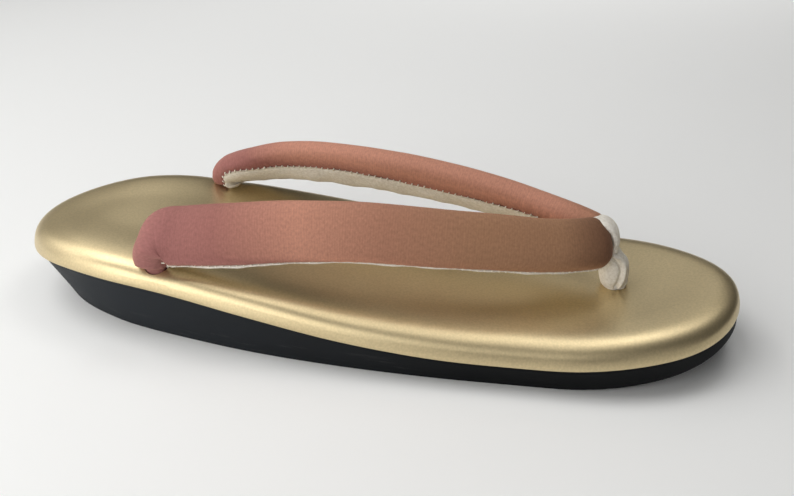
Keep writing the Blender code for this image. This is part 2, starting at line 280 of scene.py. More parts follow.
def makeSole(material):
    # a wedge of black foam rubber, with a thin layer glued on top
    outline = soleOutline(soleForm["stations"])
    reveal, edge = soleForm["reveal"], soleForm["groundRound"]

    def layer(x):
        return soleForm["layerProud"] * soleShare(x, "layerShares")

    def corner(x):  # round of the joint between wedge and layer, which closes up towards the toe
        return soleForm["layerRound"] * (0.15 + 0.85 * soleShare(x, "layerShares"))

    def top(x):
        return seamZ(x) - soleForm["layerHeight"]

    def side(share):
        return lambda x: reveal + layer(x) + (1 - share) * undercut(x)

    rings = [soleRing(outline, lambda x: side(0)(x) + 2.5 * edge, groundZ),
             soleRing(outline, lambda x: side(0)(x) + 0.9 * edge, groundZ)]
    for angle in (30, 60, 90):
        a = radians(angle)
        rings.append(soleRing(outline, lambda x: side(0)(x) + edge * (1 - sin(a)),
                              lambda x: groundZ(x) + edge * (1 - cos(a))))
    for share in (0.2, 0.4, 0.6, 0.8, 0.95):
        rings.append(soleRing(outline, side(share),
                              lambda x: groundZ(x) + edge + (top(x) - groundZ(x) - edge) * share))
    rings.append(soleRing(outline, side(1), lambda x: top(x) - corner(x)))
    rings.append(soleRing(outline, lambda x: side(1)(x) + 0.3 * corner(x),
                          lambda x: top(x) - 0.3 * corner(x)))
    rings.append(soleRing(outline, lambda x: side(1)(x) + 1.3 * corner(x), top))
    bm = bmesh.new()
    verts = joinRings(bm, rings)
    closeAcross(bm, verts[0], lambda x, y: groundZ(x), 4)
    closeAcross(bm, verts[-1], lambda x, y: top(x), 4)
    wedge = makePiece("sole_wedge", bm, material)

    edge = soleForm["layerEdge"]
    rings = [soleRing(outline, lambda x: reveal + 1.4 * corner(x), top),
             soleRing(outline, lambda x: reveal + 0.3 * corner(x), lambda x: top(x) + 0.3 * corner(x)),
             soleRing(outline, lambda x: reveal, lambda x: top(x) + 1.2 * corner(x)),
             soleRing(outline, lambda x: reveal, lambda x: seamZ(x) - edge),
             soleRing(outline, lambda x: reveal + 0.3 * edge, lambda x: seamZ(x) - 0.3 * edge),
             soleRing(outline, lambda x: reveal + edge, seamZ)]
    bm = bmesh.new()
    verts = joinRings(bm, rings)
    closeAcross(bm, verts[0], lambda x, y: top(x), 4)
    closeAcross(bm, verts[-1], lambda x, y: seamZ(x), 4)
    topLayer = makePiece("sole_top_layer", bm, material)
    return [wedge, topLayer]


# a cushion board wrapped in gold synthetic leather
footbedForm = {
    "thickness": 6.8 * mm, "gap": 0.3 * mm,
    "rollWidth": 10.5 * mm, "rollPower": 2.35,
    "wallLean": 0.38 * mm,  # the wrapped wall leans in below its roll
    "lip": 0.65 * mm, "lipThickness": 0.75 * mm,  # the leather's lower edge hangs over the sole
    "dishWidth": 14 * mm, "dishDepth": 0.6 * mm, "dishRings": (12.5 * mm, 15 * mm),
    "rearHoleAhead": 59.5 * mm, "rearHoleOut": 30 * mm, "frontHoleBack": 38 * mm,
    "rearHole": 8.8 * mm, "frontHole": 7.0 * mm,
    "rearDimple": 0.5 * mm, "frontDimple": 0.35 * mm, "dimpleRadius": 6.5 * mm,
    "waviness": 0.09 * mm, "waveLength": 26 * mm,
    "stations": 60, "across": 10, "smoothing": 2,
}
rearHoleX = footbedForm["rearHoleAhead"] - soleForm["length"] / 2
frontHoleX = soleForm["length"] / 2 - footbedForm["frontHoleBack"]


def footbedZ(x):
    return seamZ(x) + footbedForm["thickness"]


def goldLeather():
    # polyurethane leather with gold pigment, embossed: a satin metal sheen with fine pebbles
    material, tree, shader = newMaterial(
        "goldSyntheticLeatherEmbossed", Metallic=0.9, Coat_Weight=0.1, Coat_Roughness=0.28)
    place = addNode(tree, "ShaderNodeTexCoord").outputs["Object"]
    cloud = addNode(tree, "ShaderNodeTexNoise", {"Vector": place, "Scale": 22.0, "Detail": 3.0})
    tone = addNode(tree, "ShaderNodeValToRGB", {0: cloud}, stops=[(0.3, "#d0bd93"), (0.7, "#d9c69c")])
    flakes = addNode(tree, "ShaderNodeTexNoise", {"Vector": place, "Scale": 1 / (0.7 * mm), "Detail": 2.0})
    spark = addNode(tree, "ShaderNodeMapRange", {0: flakes, 1: 0.35, 2: 0.65, 3: 0.94, 4: 1.05})
    colour = addNode(tree, "ShaderNodeVectorMath", {0: tone, 1: spark}, operation="MULTIPLY")
    satin = addNode(tree, "ShaderNodeMapRange", {0: cloud, 1: 0.3, 2: 0.7, 3: 0.36, 4: 0.41})
    pebbles = addNode(tree, "ShaderNodeTexVoronoi", {
        "Vector": place, "Scale": 1 / (0.6 * mm)}, feature="SMOOTH_F1")
    grain = addNode(tree, "ShaderNodeMath", {0: pebbles, 1: flakes}, operation="ADD")
    bump = addNode(tree, "ShaderNodeBump", {"Strength": 0.2, "Distance": 0.05 * mm, "Height": grain})
    feed(tree, shader, {"Base Color": colour, "Roughness": satin, "Normal": bump})
    return material


def footbedProfile():
    # insets and heights over the seam of the wrapped edge, from its foot out round the lip to its top
    base, thick = footbedForm["gap"], footbedForm["thickness"] - footbedForm["gap"]
    lip, fold, lean = footbedForm["lip"], footbedForm["lipThickness"], footbedForm["wallLean"]
    profile = [(2.2 * fold, base), (1.15 * fold, base), (fold, -0.3 * lip), (0.85 * fold, -0.85 * lip),
               (0.42 * fold, -lip), (0.10 * fold, -0.78 * lip), (0.0, -0.4 * lip),
               (0.2 * lean, 0.05 * thick), (0.55 * lean, 0.14 * thick), (lean, 0.23 * thick)]
    power = 2 / footbedForm["rollPower"]
    for i in range(15):
        a = radians(17 + 73 * i / 14)
        inset = lean + (footbedForm["rollWidth"] - lean) * (1 - cos(a) ** power)
        profile.append((inset, base + thick * sin(a) ** power))
    return profile


def dishedZ(outline, x, y):
    edge = min((point.x - x) ** 2 + (point.y - y) ** 2 for point, _ in outline) ** 0.5
    sunk = ease((edge - footbedForm["rollWidth"]) / footbedForm["dishWidth"])
    return footbedZ(x) - footbedForm["dishDepth"] * sunk


def makeFootbed(material):
    outline = soleOutline(footbedForm["stations"])
    base, thick = footbedForm["gap"], footbedForm["thickness"] - footbedForm["gap"]
    rings = [soleRing(outline, lambda x: inset, lambda x: seamZ(x) + height)
             for inset, height in footbedProfile()]
    for inset in footbedForm["dishRings"]:
        flat = soleRing(outline, lambda x: inset, seamZ)
        rings.append([Vector((p.x, p.y, dishedZ(outline, p.x, p.y))) for p in flat])
    bm = bmesh.new()
    verts = joinRings(bm, rings)
    closeAcross(bm, verts[0], lambda x, y: seamZ(x) + base, footbedForm["across"])
    closeAcross(bm, verts[-1], lambda x, y: dishedZ(outline, x, y), footbedForm["across"])
    footbed = hardened(subdivide(makePiece("footbed_cushion", bm, material), footbedForm["smoothing"]))

    rearHole, rearDimple = footbedForm["rearHole"], footbedForm["rearDimple"]
    holes = ((rearHoleX, footbedForm["rearHoleOut"], rearHole, rearDimple),
             (rearHoleX, -footbedForm["rearHoleOut"], rearHole, rearDimple),
             (frontHoleX, 0, footbedForm["frontHole"], footbedForm["frontDimple"]))
    wave = footbedForm["waveLength"]
    for vert in footbed.data.vertices:
        # the leather dips where it is pulled into the holes, and is never quite flat
        p = vert.co
        if p.z < seamZ(p.x) + 0.4 * thick:
            continue
        for x, y, _, dimple in holes:
            away = sqrt((p.x - x) ** 2 + (p.y - y) ** 2) / footbedForm["dimpleRadius"]
            p.z -= dimple * exp(-away * away)
        p.z += footbedForm["waviness"] * softNoise(p.x / wave, p.y / wave, 0.3)
    for x, y, diameter, _ in holes:
        bpy.ops.mesh.primitive_cylinder_add(
            vertices=32, radius=diameter / 2, depth=3 * thick, location=(x, y, footbedZ(x)))
        cutter = bpy.context.object
        cut = footbed.modifiers.new("hole", "BOOLEAN")
        cut.operation, cut.solver, cut.object = "DIFFERENCE", "EXACT", cutter
        hardened(footbed)
        bpy.data.objects.remove(cutter)
    footbed.data.set_sharp_from_angle(angle=radians(50))
    return footbed


# padded bands of shot fabric, lined with flannel and whip-stitched along the lining's edges
strapForm = {
    "width": 19.3 * mm, "depth": 10 * mm, "rise": 21.8 * mm, "fullness": 2.4,
    "neck": 8 * mm, "noseLength": 6 * mm, "nosePower": 2.2,
    "step": 0.55 * mm, "sides": 88,
    # along from rear hole 0 to front hole 1, then shares of the rear hole's distance out, of the rise,
    # the width and the depth, and the tilt in degrees
    "heelRows": {
        "right": ((0.000, 1.000, 0.010, 0.62, 1.10, 0), (0.000, 1.000, 0.055, 0.71, 1.22, 0),
                  (-0.001, 0.998, 0.130, 0.76, 1.28, 12), (0.006, 0.980, 0.290, 0.89, 1.22, 32),
                  (0.027, 0.955, 0.400, 0.98, 1.12, 39), (0.072, 0.940, 0.470, 1.00, 1.03, 43)),
        "left": ((0.000, 1.000, 0.015, 0.56, 1.04, 0), (0.000, 1.000, 0.075, 0.66, 1.10, 0),
                 (0.003, 0.992, 0.150, 0.75, 1.14, 8), (0.020, 0.980, 0.255, 0.85, 1.10, 22),
                 (0.046, 0.960, 0.340, 0.94, 1.08, 32), (0.088, 0.945, 0.455, 0.99, 1.03, 40)),
    },
    "frontRows": ((0.172, 0.940, 0.645, 1.00, 1.00, 51), (0.284, 0.873, 0.812, 0.98, 1.00, 58),
                  (0.425, 0.763, 0.955, 0.95, 1.00, 60), (0.565, 0.673, 1.000, 0.93, 1.00, 60),
                  (0.705, 0.543, 0.963, 0.90, 1.00, 57), (0.810, 0.410, 0.885, 0.87, 1.00, 53),
                  (0.890, 0.262, 0.815, 0.85, 1.04, 48), (0.940, 0.130, 0.757, 0.84, 1.08, 45),
                  (0.972, 0.040, 0.715, 0.83, 1.08, 43)),
    # where the lining's edges lie round the section, in degrees, from the strap's heel end to its nose
    "upperSeam": (200, 200, 236, 252, 255, 258, 262, 264, 263, 258, 250, 244, 238),
    "lowerSeam": (336, 340, 350, 353, 354, 354, 354, 354, 354, 353, 352, 350, 348),
    "neckWrap": 62, "neckWrapLength": 17 * mm,  # degrees further round at the cover's heel end
    "recess": 0.6 * mm, "recessEdge": 0.8 * mm,  # the cover lies lower under the lining
    "tuck": 0.40 * mm, "tuckWidth": 0.9 * mm,  # groove along the stitches
    "pucker": 0.30 * mm, "puckerPitch": 3.6 * mm, "puckerReach": 4.6 * mm, "lowerPucker": 0.6,
    "softness": 0.16 * mm,
    "liningThickness": 0.9 * mm, "liningProud": 0.25 * mm, "liningEdgeProud": 0.75 * mm,
    "liningWave": 0.5 * mm, "liningCrumple": 0.12 * mm, "liningParts": 22,
    # where the left lining goes into its hole: a tongue, then a crease across it
    "tongue": 6.0 * mm, "tongueLength": 4.0 * mm, "tongueRise": 1.0 * mm,
    "crease": 10.5 * mm, "creaseSlant": 7.0 * mm, "creaseWidth": 0.9 * mm, "creaseDepth": 0.9 * mm,
    # painted shade: near both seams the tone is turned back towards pink, for the shade along the strap's
    # turned edges
    "seamShadeWidth": 6 * mm, "pinker": 0.13,  # the cloth's colour is pinker towards the seams
    # how far the cloth's colour has turned from pink to brown, from the heel end to the nose: the dye's own
    # change with painted light in it; the right strap passes the ramp's painted highlight and ends in its
    # painted shade at the nose, and the left strap is held in the ramp's lighter middle as a painted lit
    # copy
    "dyeAndPaintedLight": {"right": (0.0, 0.125, 0.25, 0.375, 0.5, 0.625, 0.75, 0.875, 1.0),
              "left": (0.0, 0.19, 0.35, 0.39, 0.41, 0.42, 0.42, 0.43, 0.65)},
    "stitchStart": 9 * mm, "stitchPitch": 2.2 * mm, "stitchReach": 1.0 * mm, "stitchSlant": 0.4 * mm,
    "stitchHeight": 0.50 * mm, "stitchSunk": 0.30 * mm, "stitchUnevenness": 0.22, "thread": 0.22 * mm,
    "stitchDip": 0.10 * mm, "stitchDipReach": 1.0 * mm,  # each stitch pulls the cover in
}


def strapSections(side):
    heelEnd = rearHoleX
    reach = frontHoleX - heelEnd
    neck, out = strapForm["neck"], footbedForm["rearHoleOut"]
    inHole = (seamZ(heelEnd) + 0.6 * mm, footbedZ(heelEnd) - 0.3 * mm)  # the strap starts down in its hole
    rows = [(heelEnd, out, z, neck, neck, 0) for z in inHole]
    for along, outShare, rise, width, depth, tilt in strapForm["heelRows"][side] + strapForm["frontRows"]:
        x = heelEnd + reach * along
        rows.append((x, out * outShare, footbedZ(x) + strapForm["rise"] * rise,
                     strapForm["width"] * width, strapForm["depth"] * depth, tilt))
    rows = finerRows(rows, 12)
    centres = [Vector(row[:3]) for row in rows]
    lengths = [0.0]
    for a, b in zip(centres, centres[1:]):
        lengths.append(lengths[-1] + (b - a).length)
    total, nose = lengths[-1], strapForm["noseLength"]

    count = round((total - nose) / strapForm["step"])
    places = [(total - nose) * i / count for i in range(count)]
    places += [total - nose * (1 - sin(pi / 2 * i / 14)) for i in range(14)]
    sections, k = [], 0
    for place in places:
        while k < len(rows) - 2 and lengths[k + 1] < place:
            k += 1
        t = (place - lengths[k]) / (lengths[k + 1] - lengths[k])
        x, y, z, width, depth, tilt = [a + (b - a) * t for a, b in zip(rows[k], rows[k + 1])]
        behind, ahead = centres[max(k - 1, 0)], centres[min(k + 2, len(rows) - 1)]
        travel = (ahead - behind).normalized()
        across = Vector((0, cos(radians(tilt)), -sin(radians(tilt))))
        across = (across - travel * across.dot(travel)).normalized()
        end = max(0, 1 - (total - place) / nose)
        size = (1 - end ** strapForm["nosePower"]) ** (1 / strapForm["nosePower"])
        sections.append({"centre": Vector((x, y, z)), "across": across, "through": travel.cross(across),
                         "wide": width / 2 * size, "deep": depth / 2 * size, "place": place,
                         "share": place / total, "size": size, "travel": travel})
    return sections


def sectionPoint(section, angle):
    # point and outward normal of a strap's section
    fullness, across, through = strapForm["fullness"], section["across"], section["through"]
    side, top = superellipse(angle, fullness)
    point = section["centre"] + across * section["wide"] * side + through * section["deep"] * top
    side, top = superellipse(angle, fullness / (fullness - 1))
    normal = across * side / max(section["wide"], 1e-5) + through * top / max(section["deep"], 1e-5)
    return point, normal.normalized()


def seamAngle(section, row):
    angle = evenValue(strapForm[row], section["share"])
    if row == "lowerSeam":
        angle -= strapForm["neckWrap"] * (1 - ease(section["place"] / strapForm["neckWrapLength"]))
    return radians(angle)


def ringAngles(sides):
    # the ring starts and ends on the underside, hidden by the lining
    return [radians(305) + 2 * pi * k / sides for k in range(sides)]


def measured(section):
    # girth of a section from the ring's start to each of its points, with the places of both seams
    angles = ringAngles(strapForm["sides"])
    girths, last = [], None
    for angle in angles:
        point, _ = sectionPoint(section, angle)
        girths.append(girths[-1] + (point - last).length if last else 0.0)
        last = point
    whole = girths[-1] + (sectionPoint(section, angles[0])[0] - last).length
    seams = []
    for row, turn in (("lowerSeam", 0), ("upperSeam", 360)):
        seam = seamAngle(section, row) + radians(turn)
        before = seam < angles[0]  # the seam lies before the ring's start
        place = (seam - angles[0]) / (2 * pi) * len(angles) + before * len(angles)
        i = min(int(place), len(angles) - 2)
        seams.append(girths[i] + (girths[i + 1] - girths[i]) * (place - i) - before * whole)
    return angles, girths, whole, seams


def coverRise(section, girth, whole, lower, upper, seed):
    # how far the cover stands off the plain section
    form, s = strapForm, section["place"]
    if girth - whole > lower:
        girth -= whole
    under = lower - girth  # how far the point lies under the lining
    if girth > upper:
        under = min(girth - upper, whole + lower - girth)
    if under > 0:
        return -form["recess"] * ease(under / form["recessEdge"])
    rise = 0.0
    for away, strength in ((upper - girth, 1.0), (girth - lower, form["lowerPucker"])):
        rise -= form["tuck"] * exp(-(away / form["tuckWidth"]) ** 2)
        shift = 1.3 * softNoise(s / (9 * mm), seed)
        shift += 0.25 * softNoise(away / (3 * mm), s / (5 * mm), seed)
        fold = 0.5 - 0.5 * cos(2 * pi * (s / form["puckerPitch"] + shift))
        depth = 0.65 + 0.6 * softNoise(s / (7 * mm), seed + 4.0)
        rise -= form["pucker"] * strength * fold * depth * exp(-away / form["puckerReach"])
        stitch = 0.5 - 0.5 * cos(2 * pi * s / form["stitchPitch"])
        rise -= form["stitchDip"] * stitch * exp(-away / form["stitchDipReach"])
    rise += form["softness"] * softNoise(s / (16 * mm), girth / (9 * mm), seed)
    return rise * section["size"]


def shotFabric():
    # shot weave of pink and gold yarn: fine crosswise ribs, and a soft sheen from its brushed face
    material, tree, shader = newMaterial(
        "shotStrapFabricWoven", Roughness=0.78, IOR=1.45, Sheen_Weight=0.35, Sheen_Roughness=0.45,
        Sheen_Tint=linear("#e7b79a"))
    along = addNode(tree, "ShaderNodeAttribute", attribute_name="along").outputs["Vector"]
    _, _, turn = addNode(tree, "ShaderNodeSeparateXYZ", {0: along}).outputs
    # the ramp is the dye's pink to brown with painted light in it: the bright stop at 0.38 is a painted
    # highlight, the dark stop at 1.00 is painted shade where the nose meets the thong
    tone = addNode(tree, "ShaderNodeValToRGB", {0: turn}, stops=[
        (0.00, "#94605a"), (0.10, "#9b635e"), (0.22, "#996259"), (0.38, "#c18770"),
        (0.55, "#a6745c"), (0.72, "#a07557"), (0.88, "#9d7455"), (1.00, "#63412c")])
    yarn = addNode(tree, "ShaderNodeMapping", {
        "Vector": along, "Scale": (1 / (0.8 * mm), 1 / (1.1 * mm), 0.0)})
    crepe = addNode(tree, "ShaderNodeTexNoise", {
        "Vector": yarn, "Scale": 1.0, "Detail": 3.0, "Roughness": 0.6})
    mottle = addNode(tree, "ShaderNodeMapRange", {0: crepe, 1: 0.3, 2: 0.7, 3: 0.86, 4: 1.14})
    ribs = addNode(tree, "ShaderNodeTexWave", {
        "Vector": along, "Scale": 2 * pi / 20 / (0.76 * mm), "Distortion": 1.2, "Detail": 2.0,
        "Detail Scale": 1.5}, bands_direction="X").outputs[1]
    dye = addNode(tree, "ShaderNodeMapRange", {0: ribs, 1: 0.0, 2: 1.0, 3: 0.97, 4: 1.03})
    shade = addNode(tree, "ShaderNodeMath", {0: mottle, 1: dye}, operation="MULTIPLY")
    colour = addNode(tree, "ShaderNodeVectorMath", {0: tone, 1: shade}, operation="MULTIPLY")
    relief = addNode(tree, "ShaderNodeMath", {0: ribs, 1: 0.3, 2: crepe}, operation="MULTIPLY_ADD")
    bump = addNode(tree, "ShaderNodeBump", {"Strength": 0.3, "Distance": 0.12 * mm, "Height": relief})
    feed(tree, shader, {"Base Color": colour, "Normal": bump})
    return material


def flannel(name, colour, shadow):
    # brushed cotton: a raised nap with no gloss, and small hollows where the nap parts
    material, tree, shader = newMaterial(
        name, Roughness=0.95, IOR=1.45, Sheen_Weight=0.5, Sheen_Roughness=0.6, Sheen_Tint=linear("#fff4e0"))
    place = addNode(tree, "ShaderNodeTexCoord").outputs["Object"]
    nap = addNode(tree, "ShaderNodeTexNoise", {
        "Vector": place, "Scale": 1 / (0.9 * mm), "Detail": 5.0, "Roughness": 0.65})
    tone = addNode(tree, "ShaderNodeValToRGB", {0: nap}, stops=[(0.32, shadow), (0.62, colour)])
    bump = addNode(tree, "ShaderNodeBump", {"Strength": 0.6, "Distance": 0.25 * mm, "Height": nap})
    feed(tree, shader, {"Base Color": tone, "Normal": bump})
    return material


def storeAlong(piece, values):
    # each point's place along the strap and round it, in metres, and how far its colour has turned, with
    # painted light and shade in it
    attribute = piece.data.attributes.new("along", "FLOAT_VECTOR", "POINT")
    attribute.data.foreach_set("vector", [number for value in values for number in value])


def mirrored(side, point):
    return Vector((point.x, -point.y, point.z)) if side == "right" else point


def makeCover(side, sections, material):
    seed = 2.0 if side == "right" else 11.0
    rings, values = [], []
    for section in sections:
        angles, girths, whole, (lower, upper) = measured(section)
        ring = []
        for angle, girth in zip(angles, girths):
            point, normal = sectionPoint(section, angle)
            rise = coverRise(section, girth, whole, lower, upper, seed)
            ring.append(mirrored(side, point + normal * rise))
            # painted shade: the tone turns pinker near the seams
            edge = 1 - min(upper - girth, girth - lower) / strapForm["seamShadeWidth"]
            tone = evenValue(strapForm["dyeAndPaintedLight"][side], section["share"]) - strapForm["pinker"] * ease(edge)
            values.append((section["place"], girth, max(tone, 0)))
        rings.append(ring)
    bm = bmesh.new()
    verts = joinRings(bm, rings)
    tip = sections[-1]["centre"] + sections[-1]["travel"] * 0.05 * mm
    closePole(bm, verts[0], mirrored(side, sections[0]["centre"]))
    closePole(bm, verts[-1], mirrored(side, tip))
    cover = makePiece("strap_cover_" + side, bm, material)
    values += [(0.0, 0.0, 0.0), (sections[-1]["place"], 0.0, strapForm["dyeAndPaintedLight"][side][-1])]
    storeAlong(cover, values)
    return cover


def liningRise(side, place, q, seed):
    # how far the lining stands off the plain section, q as a share of its width from its upper edge
    form = strapForm
    rise = form["liningProud"] + (form["liningEdgeProud"] - form["liningProud"]) * ease((q - 0.7) / 0.3)
    rise += form["liningWave"] * softNoise(place / (7 * mm), q * 1.5, seed) * ease(q * 3)
    rise += form["liningCrumple"] * softNoise(place / (3 * mm), q * 4, seed)
    if side == "left":
        upperPart = ease(1.25 - 1.4 * q)
        swell = (place - form["tongue"]) / form["tongueLength"]
        rise += form["tongueRise"] * exp(-swell * swell) * upperPart
        fold = (place - form["crease"] - form["creaseSlant"] * q) / form["creaseWidth"]
        rise -= form["creaseDepth"] * exp(-fold * fold) * upperPart
    return rise


def makeLining(side, sections, material):
    seed = 5.0 if side == "right" else 17.0
    thick, parts = strapForm["liningThickness"], strapForm["liningParts"]
    rings = []
    for section in sections:
        if section["size"] < 0.35:  # the lining ends short of the nose
            break
        angles, girths, whole, (lower, upper) = measured(section)
        outer, inner = [], []
        for k in range(parts + 1):
            q = k / parts
            girth = (upper + (whole - upper + lower) * q) % whole
            i = max(j for j, g in enumerate(girths) if g <= girth)
            ahead = girths[i + 1] if i + 1 < len(girths) else whole
            angle = angles[i] + 2 * pi / len(angles) * (girth - girths[i]) / (ahead - girths[i])
            point, normal = sectionPoint(section, angle)
            rise = liningRise(side, section["place"], q, seed)
            body = (1 - abs(2 * q - 1) ** 7) ** 0.5  # the edges are turned under and round
            outer.append(point + normal * (rise - 0.5 * thick * (1 - body)))
            inner.append(point - normal * (0.55 * thick * body + 0.10 * mm))
        rings.append([mirrored(side, p) for p in outer + inner[::-1]])
    bm = bmesh.new()
    verts = joinRings(bm, rings)
    for ring in (verts[0], verts[-1]):
        centre = sum((v.co for v in ring), Vector()) / len(ring)
        closePole(bm, ring, centre)
    return makePiece("strap_lining_" + side, bm, material)


def stitchTree(thread):
    # whip stitches: short slanted threads over a seam line, whose points carry the outward direction
    tree = bpy.data.node_groups.new("whipStitches", "GeometryNodeTree")
    tree.interface.new_socket("Seam", in_out="INPUT", socket_type="NodeSocketGeometry")
    sizes = {"Pitch": strapForm["stitchPitch"], "Reach": strapForm["stitchReach"],
             "Slant": strapForm["stitchSlant"], "Height": strapForm["stitchHeight"],
             "Sunk": strapForm["stitchSunk"], "Thread": strapForm["thread"],
             "Unevenness": strapForm["stitchUnevenness"]}
    for name, value in sizes.items():
        socket = tree.interface.new_socket(name, in_out="INPUT", socket_type="NodeSocketFloat")
        socket.default_value = value
    tree.interface.new_socket("Seed", in_out="INPUT", socket_type="NodeSocketInt").default_value = 7
    tree.interface.new_socket("Stitches", in_out="OUTPUT", socket_type="NodeSocketGeometry")
    given = addNode(tree, "NodeGroupInput").outputs
    line = addNode(tree, "GeometryNodeMeshToCurve", {"Mesh": given["Seam"]})
    even = addNode(tree, "GeometryNodeResampleCurve", {
        "Curve": line, "Length": given["Pitch"]}, mode="LENGTH")
    ends = []
    for sign in (-0.5, 0.5):
        x = addNode(tree, "ShaderNodeMath", {0: given["Slant"], 1: sign}, operation="MULTIPLY")
        y = addNode(tree, "ShaderNodeMath", {0: given["Reach"], 1: sign}, operation="MULTIPLY")
        z = addNode(tree, "ShaderNodeMath", {0: given["Sunk"], 1: -1.0}, operation="MULTIPLY")
        ends.append(addNode(tree, "ShaderNodeCombineXYZ", {0: x, 1: y, 2: z}))
    top = addNode(tree, "ShaderNodeCombineXYZ", {2: given["Height"]})
    arc = addNode(tree, "GeometryNodeCurveQuadraticBezier", {
        "Resolution": 6, "Start": ends[0], "Middle": top, "End": ends[1]})
    circle = addNode(tree, "GeometryNodeCurvePrimitiveCircle", {"Resolution": 6, "Radius": given["Thread"]})
    stitch = addNode(tree, "GeometryNodeCurveToMesh", {
        "Curve": arc, "Profile Curve": circle, "Fill Caps": True})
    outward = addNode(tree, "GeometryNodeInputNamedAttribute", {"Name": "outward"}, data_type="FLOAT_VECTOR")
    tangent = addNode(tree, "GeometryNodeInputTangent")
    turned = addNode(tree, "FunctionNodeAxesToRotation", {
        0: outward, 1: tangent}, primary_axis="Z", secondary_axis="X")
    lowest = addNode(tree, "ShaderNodeMath", {0: 1.0, 1: given["Unevenness"]}, operation="SUBTRACT")
    highest = addNode(tree, "ShaderNodeMath", {0: 1.0, 1: given["Unevenness"]}, operation="ADD")
    scale = addNode(tree, "FunctionNodeRandomValue", {
        2: lowest, 3: highest, "Seed": given["Seed"]}, data_type="FLOAT")
    placed = addNode(tree, "GeometryNodeInstanceOnPoints", {
        "Points": even, "Instance": stitch, "Rotation": turned, "Scale": scale.outputs[1]})
    real = addNode(tree, "GeometryNodeRealizeInstances", {0: placed})
    dyed = addNode(tree, "GeometryNodeSetMaterial", {"Geometry": real, "Material": thread})
    addNode(tree, "NodeGroupOutput", {"Stitches": dyed})
    return tree


def makeStitches(side, sections, tree):
    rows = {"lower": [], "upper": []}
    for section in sections:
        if section["place"] < strapForm["stitchStart"] or section["size"] < 0.5:
            continue
        for name in rows:
            point, normal = sectionPoint(section, seamAngle(section, name + "Seam"))
            rows[name].append((mirrored(side, point + normal * 0.05 * mm), mirrored(side, normal)))
    bm = bmesh.new()
    outward = []
    for row in rows.values():
        verts = [bm.verts.new(point) for point, _ in row]
        outward += [normal for _, normal in row]
        for a, b in zip(verts, verts[1:]):
            bm.edges.new((a, b))
    mesh = bpy.data.meshes.new("strap_stitches_" + side)
    bm.to_mesh(mesh)
    bm.free()
    attribute = mesh.attributes.new("outward", "FLOAT_VECTOR", "POINT")
    attribute.data.foreach_set("vector", [number for normal in outward for number in normal])
    stitches = bpy.data.objects.new("strap_stitches_" + side, mesh)
    bpy.context.scene.collection.objects.link(stitches)
    maker = stitches.modifiers.new("stitches", "NODES")
    maker.node_group = tree
    seed = next(i for i in tree.interface.items_tree if i.name == "Seed")
    maker[seed.identifier] = 7 if side == "right" else 23
    return hardened(stitches)


# a flannel band over the straps' joint, rolled into a bulb above the front hole
thongForm = {
    "stem": 6.6 * mm, "bulb": 9.4 * mm, "width": 8.2 * mm, "depth": 2.2 * mm, "fullness": 2.3,
    "sides": 96, "steps": 10,
    # ahead of the front hole as a share of the bulb, rise as a share of the straps', width, depth
    "rows": ((0.00, 0.005, 0.90, 3.60), (-0.04, 0.08, 1.05, 4.15), (-0.09, 0.20, 1.15, 4.40),
             (-0.11, 0.32, 1.12, 4.10), (-0.18, 0.45, 1.05, 2.80), (-0.24, 0.60, 1.00, 1.60),
             (-0.22, 0.74, 0.98, 1.30), (-0.33, 0.88, 0.98, 1.30), (-0.51, 0.955, 0.95, 1.20),
             (-0.75, 1.00, 0.80, 1.00), (-1.08, 0.985, 0.55, 0.90), (-1.34, 0.91, 0.30, 0.80)),
    # the flannel's edge runs over the bulb's right side as a soft ridge, at these places ahead of the
    # hole and over the footbed
    "ridge": ((-2.4 * mm, 12.2 * mm), (0.5 * mm, 10.1 * mm), (1.8 * mm, 7.4 * mm), (1.8 * mm, 4.2 * mm),
              (1.0 * mm, 0.2 * mm)),
    "bulbTop": 13.5 * mm, "grooveAway": 1.1 * mm, "lobeFoot": 4 * mm,
    "ridgeHeight": 0.80 * mm, "ridgeWidth": 0.50 * mm, "grooveDepth": 0.90 * mm, "grooveWidth": 0.42 * mm,
    "lobeStep": 0.6 * mm, "lobeGroove": 0.70 * mm,  # the lobe behind the ridge lies lower
    "softness": 0.14 * mm,
}


def ridgeDistance(ridge, x, z):
    # signed distance from the ridge's line, positive ahead of it
    nearest = min(ridge, key=lambda p: (p[0] - x) ** 2 + (p[1] - z) ** 2)
    away = sqrt((nearest[0] - x) ** 2 + (nearest[1] - z) ** 2)
    return away if x > nearest[0] else -away


def bulbFold(point, ridge, footbedTop):
    # the flannel's edge on the bulb: a ridge between two grooves, and a lower lobe behind it
    form = thongForm
    away = ridgeDistance(ridge, point.x, point.z)
    rise = form["ridgeHeight"] * exp(-(away / form["ridgeWidth"]) ** 2)
    rise -= form["grooveDepth"] * exp(-((away + form["grooveAway"]) / form["grooveWidth"]) ** 2)
    rise -= form["lobeGroove"] * exp(-((away - form["grooveAway"]) / form["grooveWidth"]) ** 2)
    foot = ease((point.z - footbedTop) / form["lobeFoot"])
    rise -= foot * form["lobeStep"] * ease((away - 0.2 * mm) / (1.0 * mm))
    facing = ease((1.5 * mm - point.y) / (3 * mm))  # only on the right side
    return rise * facing * ease((footbedTop + form["bulbTop"] - point.z) / (2 * mm))


